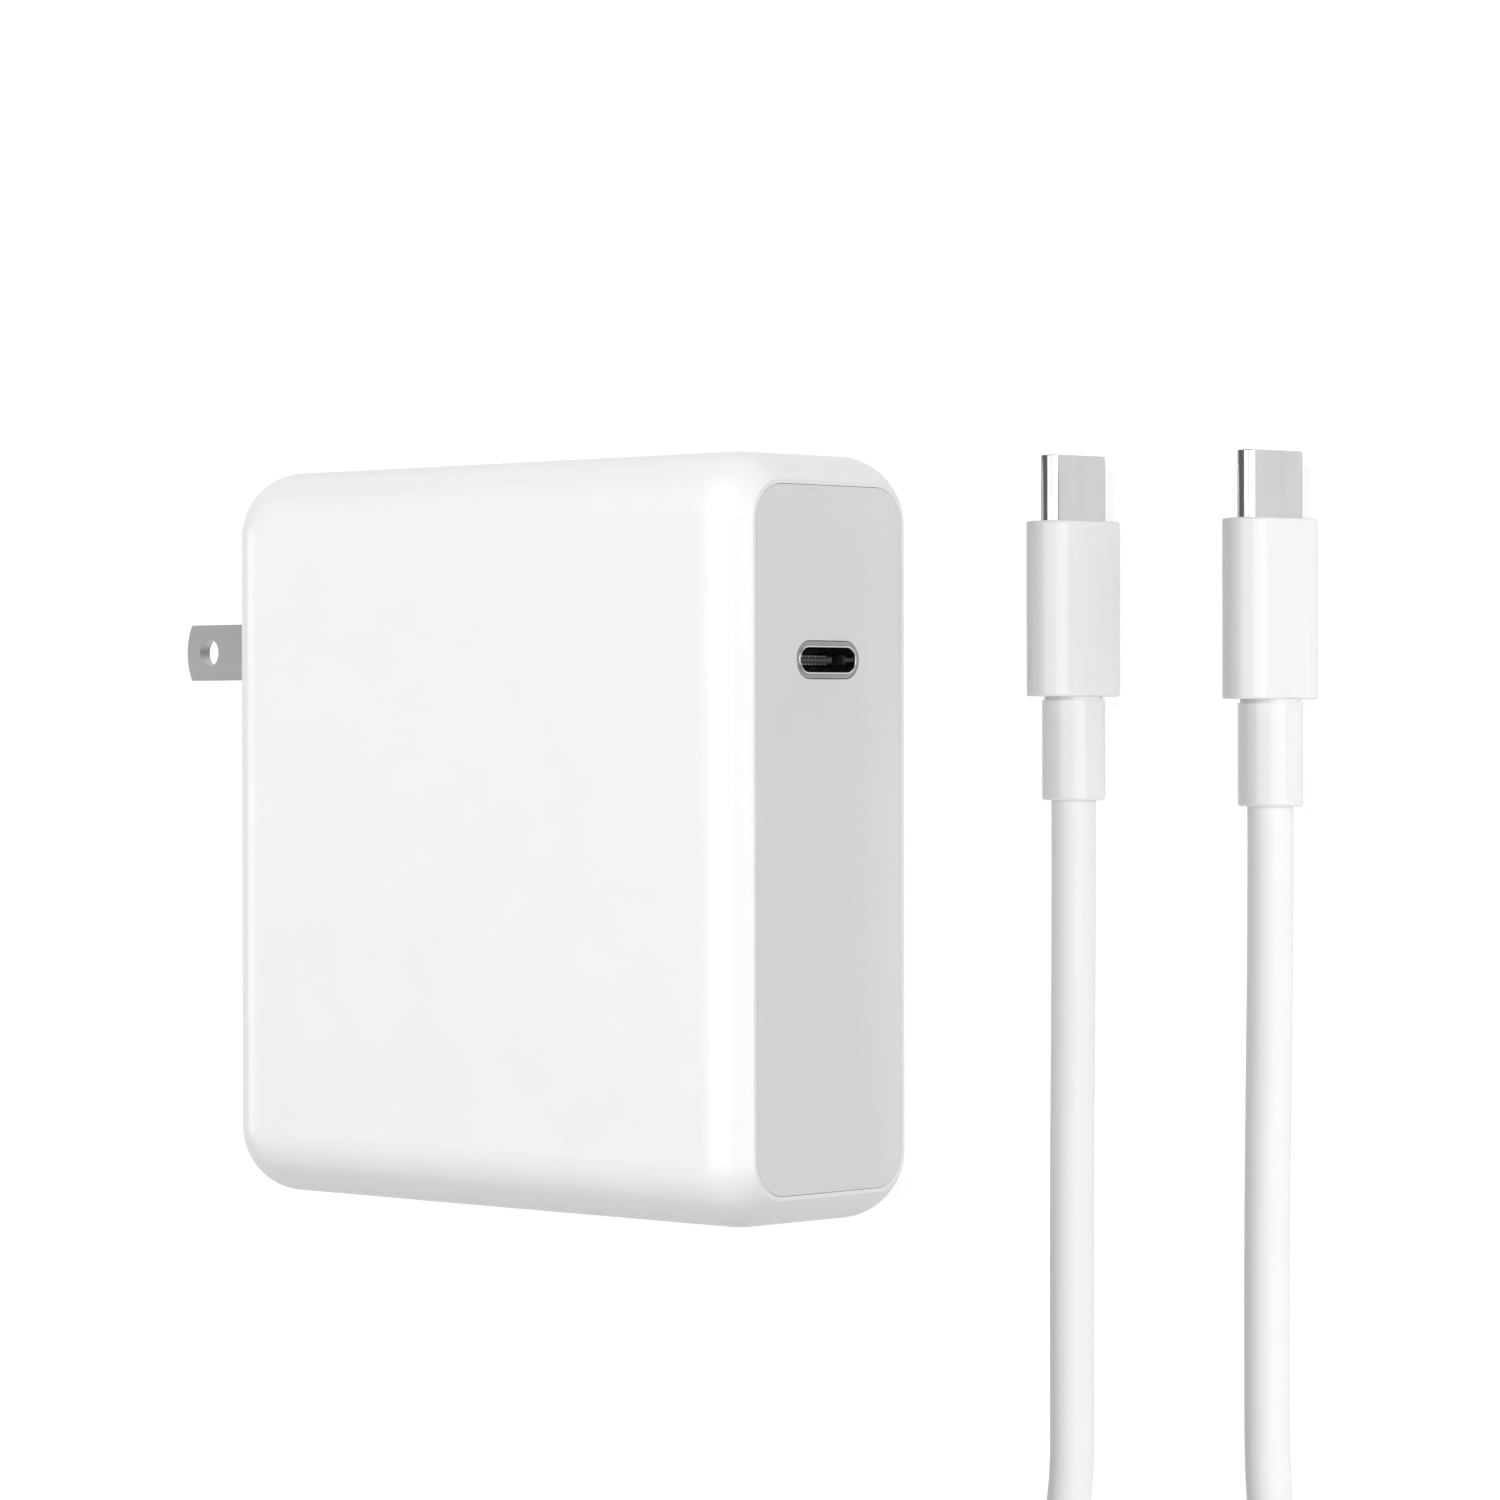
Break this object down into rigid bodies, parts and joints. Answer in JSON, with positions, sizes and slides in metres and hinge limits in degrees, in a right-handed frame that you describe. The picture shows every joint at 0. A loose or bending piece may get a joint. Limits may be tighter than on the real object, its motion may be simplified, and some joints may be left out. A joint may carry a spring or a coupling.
{
  "type": "laptop power adapter",
  "caption": "Square wall power adapter with folding two-blade outlet plug and a USB-C socket in its end panel, with a loose USB-C charge cable.",
  "frame": {"origin": "centre of the adapter's 80 x 80 mm outline on its back face, which it rests on", "axes": "+X from the blade side to the port panel, +Y towards the end that holds the socket and the blade pivot, +Z out of the front face"},
  "size_m": [0.1628, 0.1833, 0.028],
  "materials": {
    "white_shell": "satin moulded, fine texture",
    "grey_panel": "matte moulded",
    "plated_steel": "bright plated, softly brushed",
    "trim_steel": "satin plated",
    "blade_metal": "nickel-plated, lightly brushed",
    "black_nylon": "matte moulded",
    "gold_contact": "gold plated",
    "mechanism_nylon": "natural nylon",
    "spring_bronze": "bare phosphor bronze",
    "screw_steel": "zinc plated",
    "board_laminate": "solder-masked laminate",
    "component_epoxy": "moulded epoxy",
    "film_capacitor": "moulded case",
    "disc_blue": "dipped coating",
    "thermistor_green": "dipped coating",
    "capacitor_sleeve": "shrink sleeve over an aluminium can",
    "polymer_can": "bare aluminium can",
    "ferrite": "sintered ferrite",
    "copper_winding": "enamelled copper",
    "winding_tape": "taped winding",
    "heat_sheet": "mill finish",
    "insulation_film": "polyester film",
    "thermal_silicone": "soft silicone",
    "fuse_body": "glazed body",
    "lead_black": "wire insulation",
    "cord_white": "smooth elastomer jacket",
    "plug_white": "smooth satin",
    "tie_fabric": "woven hook-and-loop"
  },
  "bodies": {
    "adapter": {"housing_shell": "white_shell", "port_panel": "grey_panel", "usb_trim_ring": "trim_steel", "usb_receptacle_shell": "plated_steel", "usb_tongue": "black_nylon", "usb_contacts": "gold_contact", "output_board": "board_laminate", "charging_controller": "component_epoxy", "blade_cradle": "mechanism_nylon", "blade_retainer": "mechanism_nylon", "cradle_screws": "screw_steel", "line_spring": "spring_bronze", "neutral_spring": "spring_bronze", "line_lead": "lead_black", "neutral_lead": "cord_white", "main_board": "board_laminate", "fuse": "fuse_body", "inrush_thermistor": "thermistor_green", "x_capacitor": "film_capacitor", "choke_core": "ferrite", "choke_windings": "copper_winding", "bridge_rectifier": "component_epoxy", "bulk_capacitors": "capacitor_sleeve", "pfc_inductor_core": "ferrite", "pfc_inductor_winding": "copper_winding", "transformer_core": "ferrite", "transformer_winding": "winding_tape", "primary_heat_sink": "heat_sheet", "power_transistors": "component_epoxy", "y_capacitor": "disc_blue", "optocoupler": "component_epoxy", "control_chip": "component_epoxy", "secondary_heat_sink": "heat_sheet", "sync_rectifier": "component_epoxy", "output_capacitors": "polymer_can", "upper_heat_spreader": "heat_sheet", "lower_heat_spreader": "heat_sheet", "insulating_film": "insulation_film", "thermal_pad": "thermal_silicone"},
    "blades": {"blade_line": "blade_metal", "blade_neutral": "blade_metal", "blade_spindle": "mechanism_nylon"},
    "charge_cable": {"cord_tail_a": "cord_white", "cord_coil": "cord_white", "cord_tail_b": "cord_white", "cable_tie": "tie_fabric", "plug_a_shell": "plated_steel", "plug_a_insert": "black_nylon", "plug_a_contacts": "gold_contact", "plug_a_grip": "plug_white", "plug_a_strain_relief": "plug_white", "plug_b_shell": "plated_steel", "plug_b_insert": "black_nylon", "plug_b_contacts": "gold_contact", "plug_b_grip": "plug_white", "plug_b_strain_relief": "plug_white"}
  },
  "joints": [
    {"name": "blade_fold", "type": "hinge", "parent": "adapter", "child": "blades", "pos_m": [-0.0363, 0.0202, 0.012], "axis": [0, 0, 1], "range_deg": [0, 90]},
    {"name": "cable_slide", "type": "slide", "parent": "adapter", "child": "charge_cable", "axis": [1, 0, 0], "range_m": [0, 0.12]}
  ]
}
